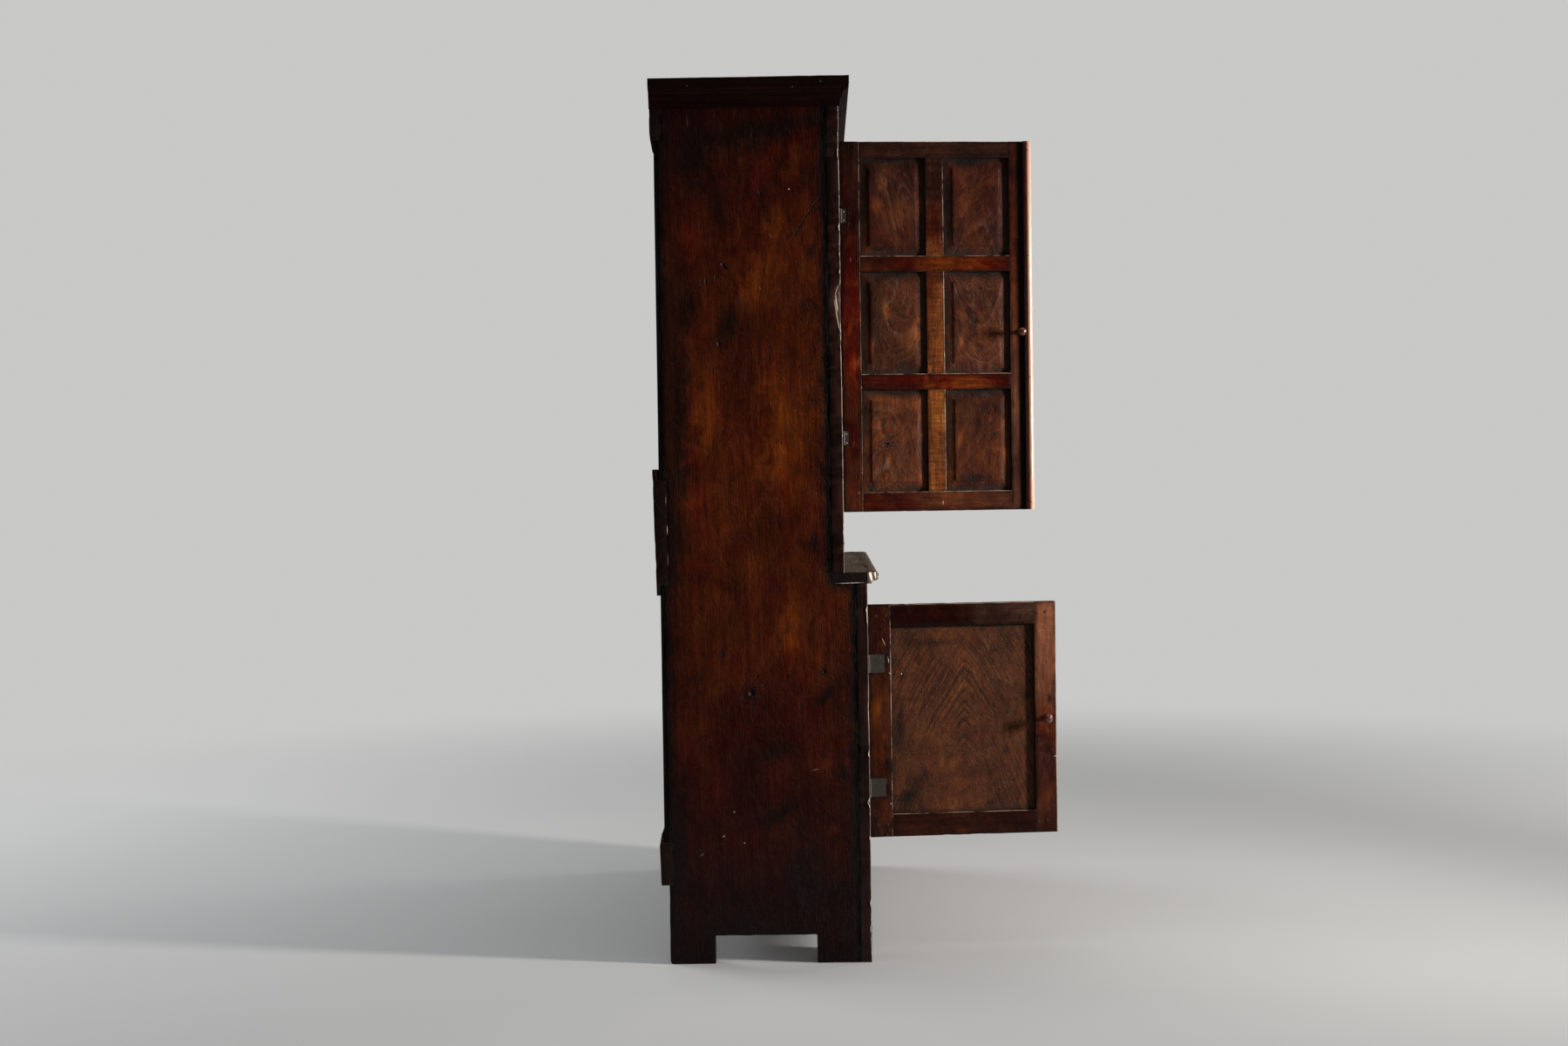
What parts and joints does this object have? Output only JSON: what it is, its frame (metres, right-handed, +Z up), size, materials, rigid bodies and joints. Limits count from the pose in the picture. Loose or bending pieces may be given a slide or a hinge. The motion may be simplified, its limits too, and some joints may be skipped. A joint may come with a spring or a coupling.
{
  "type": "court cupboard",
  "caption": "Tall oak court cupboard in two stages, with panelled doors, plank sides cut to feet, a moulded waist and a cornice.",
  "frame": {"origin": "on the floor under the middle of the outline of the cupboard as it stands with its left-hand doors open", "axes": "+Z up, -Y out of the front, +X to the right as seen from the front, so the side in the picture is -X"},
  "size_m": [1.138, 0.8978, 1.951],
  "materials": {
    "case_oak": "waxed, dark and worn at the edges",
    "door_oak": "waxed, reddish brown",
    "inner_oak": "dry, unpolished",
    "knob_wood": "turned and polished",
    "iron": "forged, dark, lightly rusted"
  },
  "bodies": {
    "case": {"left_side_board": "case_oak", "right_side_board": "case_oak", "top_board": "inner_oak", "waist_board": "case_oak", "waist_moulding": "case_oak", "bottom_board": "inner_oak", "upper_shelf_low": "inner_oak", "upper_shelf_high": "inner_oak", "lower_shelf": "inner_oak", "back_top_rail": "case_oak", "back_middle_rail": "case_oak", "back_bottom_rail": "case_oak", "upper_back_boards": "inner_oak", "lower_back_boards": "inner_oak", "upper_left_stile": "case_oak", "upper_right_stile": "case_oak", "upper_top_rail": "case_oak", "upper_bottom_rail": "case_oak", "lower_left_stile": "case_oak", "lower_right_stile": "case_oak", "lower_top_rail": "case_oak", "lower_bottom_rail": "case_oak", "cornice_front": "case_oak", "cornice_left_return": "case_oak", "cornice_right_return": "case_oak", "frame_pegs": "case_oak", "case_hinges": "iron"},
    "upper_left_door": {"upper_left_door_hinge_stile": "door_oak", "upper_left_door_meeting_stile": "door_oak", "upper_left_door_rails": "door_oak", "upper_left_door_muntins": "door_oak", "upper_left_door_panels": "door_oak", "upper_left_door_cover_strip": "door_oak", "upper_left_door_hinge_leaves": "iron"},
    "upper_left_catch": {"upper_left_door_knob": "knob_wood", "upper_left_door_catch": "iron"},
    "upper_right_door": {"upper_right_door_hinge_stile": "door_oak", "upper_right_door_meeting_stile": "door_oak", "upper_right_door_rails": "door_oak", "upper_right_door_muntins": "door_oak", "upper_right_door_panels": "door_oak", "upper_right_door_hinge_leaves": "iron", "upper_right_door_knob": "knob_wood", "upper_right_door_bolt_staples": "iron"},
    "upper_right_bolt": {"upper_right_door_bolt": "iron"},
    "lower_left_door": {"lower_left_door_hinge_stile": "door_oak", "lower_left_door_meeting_stile": "door_oak", "lower_left_door_rails": "door_oak", "lower_left_door_panel": "door_oak", "lower_left_door_hinge_leaves": "iron"},
    "lower_left_catch": {"lower_left_door_knob": "knob_wood", "lower_left_door_catch": "iron"},
    "lower_right_door": {"lower_right_door_hinge_stile": "door_oak", "lower_right_door_meeting_stile": "door_oak", "lower_right_door_rails": "door_oak", "lower_right_door_panel": "door_oak", "lower_right_door_hinge_leaves": "iron", "lower_right_door_knob": "knob_wood", "lower_right_door_bolt_staples": "iron"},
    "lower_right_bolt": {"lower_right_door_bolt": "iron"}
  },
  "joints": [
    {"name": "upper_left_door_hinge", "type": "hinge", "parent": "case", "child": "upper_left_door", "pos_m": [-0.432, 0.02939, 1.4123], "axis": [0, 0, -1], "range_deg": [-84, 91]},
    {"name": "upper_right_door_hinge", "type": "hinge", "parent": "case", "child": "upper_right_door", "pos_m": [0.432, 0.02939, 1.4123], "axis": [0, 0, 1], "range_deg": [0, 175]},
    {"name": "upper_left_catch_turn", "type": "hinge", "parent": "upper_left_door", "child": "upper_left_catch", "pos_m": [-0.37394, -0.37476, 1.39812], "axis": [-0.9945, -0.1045, 0], "range_deg": [0, 90]},
    {"name": "upper_right_bolt_slide", "type": "slide", "parent": "upper_right_door", "child": "upper_right_bolt", "axis": [0, 0, 1], "range_m": [0, 0.026]},
    {"name": "lower_left_door_hinge", "type": "hinge", "parent": "case", "child": "lower_left_door", "pos_m": [-0.432, -0.02061, 0.5205], "axis": [0, 0, -1], "range_deg": [-84, 91]},
    {"name": "lower_right_door_hinge", "type": "hinge", "parent": "case", "child": "lower_right_door", "pos_m": [0.432, -0.02061, 0.5205], "axis": [0, 0, 1], "range_deg": [0, 175]},
    {"name": "lower_left_catch_turn", "type": "hinge", "parent": "lower_left_door", "child": "lower_left_catch", "pos_m": [-0.37409, -0.42327, 0.51997], "axis": [-0.9945, -0.1045, 0], "range_deg": [0, 90]},
    {"name": "lower_right_bolt_slide", "type": "slide", "parent": "lower_right_door", "child": "lower_right_bolt", "axis": [0, 0, 1], "range_m": [0, 0.026]}
  ]
}
